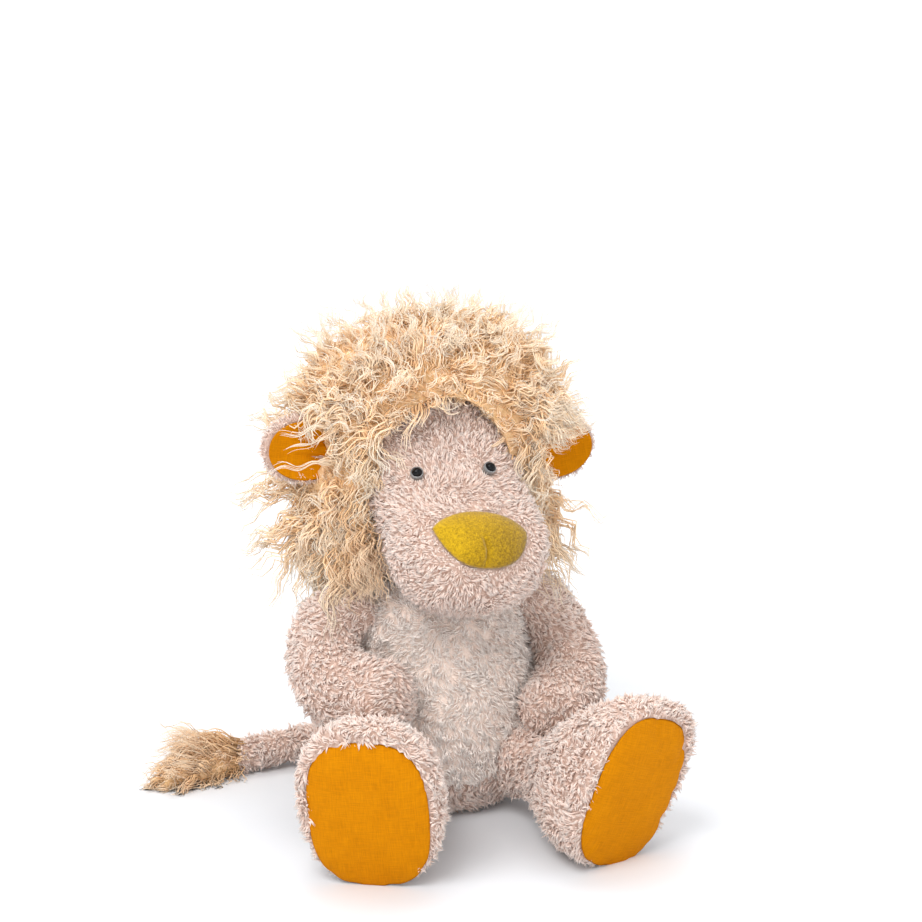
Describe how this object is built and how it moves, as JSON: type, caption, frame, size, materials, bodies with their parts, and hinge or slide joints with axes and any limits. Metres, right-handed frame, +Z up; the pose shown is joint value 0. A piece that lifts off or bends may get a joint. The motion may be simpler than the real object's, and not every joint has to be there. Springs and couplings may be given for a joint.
{
  "type": "plush lion",
  "caption": "Seated plush lion toy with shaggy mane, linen ears and foot soles, felt nose, soft limbs on sewn joints and a tufted tail.",
  "frame": {"origin": "centre of the flat of the seat, on the surface that the lion sits on", "axes": "+Z up; the lion faces -Y, so its left side is at +X"},
  "size_m": [0.3283, 0.312, 0.362],
  "materials": {
    "plush": "short woolly plush pile, pinkish beige",
    "bib_plush": "softer cream plush pile",
    "mane_pile": "long crimped pile, caramel with pale tips",
    "linen": "plain-woven linen, mustard orange",
    "felt": "wool felt, mottled mustard",
    "stuffing": "white polyester fibre filling",
    "pouch_cloth": "white cotton pouch filled with pellets",
    "bead_black": "polished black",
    "clear_glass": "clear, polished",
    "washer": "natural moulded nylon",
    "thread": "dark olive sewing thread"
  },
  "bodies": {
    "body": {"body_skin": "plush", "belly_bib": "bib_plush", "body_stuffing": "stuffing", "seat_pellet_pouch": "pouch_cloth"},
    "neck": {"neck_stuffing": "stuffing"},
    "head": {"head_skin": "plush", "head_stuffing": "stuffing", "nose_patch": "felt", "nose_stitch": "thread", "right_eye": "bead_black", "right_eye_ring": "clear_glass", "right_eye_washer": "washer", "left_eye": "bead_black", "left_eye_ring": "clear_glass", "left_eye_washer": "washer", "mane": "mane_pile", "right_ear_back": "plush", "right_ear_lining": "linen", "left_ear_back": "plush", "left_ear_lining": "linen"},
    "right_arm": {"right_arm_skin": "plush", "right_arm_stuffing": "stuffing"},
    "left_arm": {"left_arm_skin": "plush", "left_arm_stuffing": "stuffing"},
    "right_leg": {"right_leg_skin": "plush", "right_leg_stuffing": "stuffing", "right_sole": "linen"},
    "left_leg": {"left_leg_skin": "plush", "left_leg_stuffing": "stuffing", "left_sole": "linen"},
    "tail": {"tail_skin": "plush", "tail_stuffing": "stuffing", "tail_tuft": "mane_pile"}
  },
  "joints": [
    {"name": "head_turn", "type": "hinge", "parent": "body", "child": "neck", "pos_m": [0, 0.004, 0.142], "axis": [0, 0, 1], "range_deg": [-20, 20]},
    {"name": "head_nod", "type": "hinge", "parent": "neck", "child": "head", "pos_m": [0, 0.004, 0.142], "axis": [-1, 0, 0], "range_deg": [0, 10]},
    {"name": "right_arm_lift", "type": "hinge", "parent": "body", "child": "right_arm", "pos_m": [-0.068, 0.002, 0.149], "axis": [-0.7071, 0.7071, 0], "range_deg": [0, 35]},
    {"name": "left_arm_lift", "type": "hinge", "parent": "body", "child": "left_arm", "pos_m": [0.068, 0.002, 0.149], "axis": [-0.7071, -0.7071, 0], "range_deg": [0, 35]},
    {"name": "right_leg_splay", "type": "hinge", "parent": "body", "child": "right_leg", "pos_m": [-0.048, -0.048, 0.04], "axis": [0, 0, -1], "range_deg": [-20, 30]},
    {"name": "left_leg_splay", "type": "hinge", "parent": "body", "child": "left_leg", "pos_m": [0.048, -0.048, 0.04], "axis": [0, 0, 1], "range_deg": [-12, 30]},
    {"name": "tail_wag", "type": "hinge", "parent": "body", "child": "tail", "pos_m": [0, 0.07, 0.026], "axis": [0, 0, -1], "range_deg": [0, 55]}
  ]
}
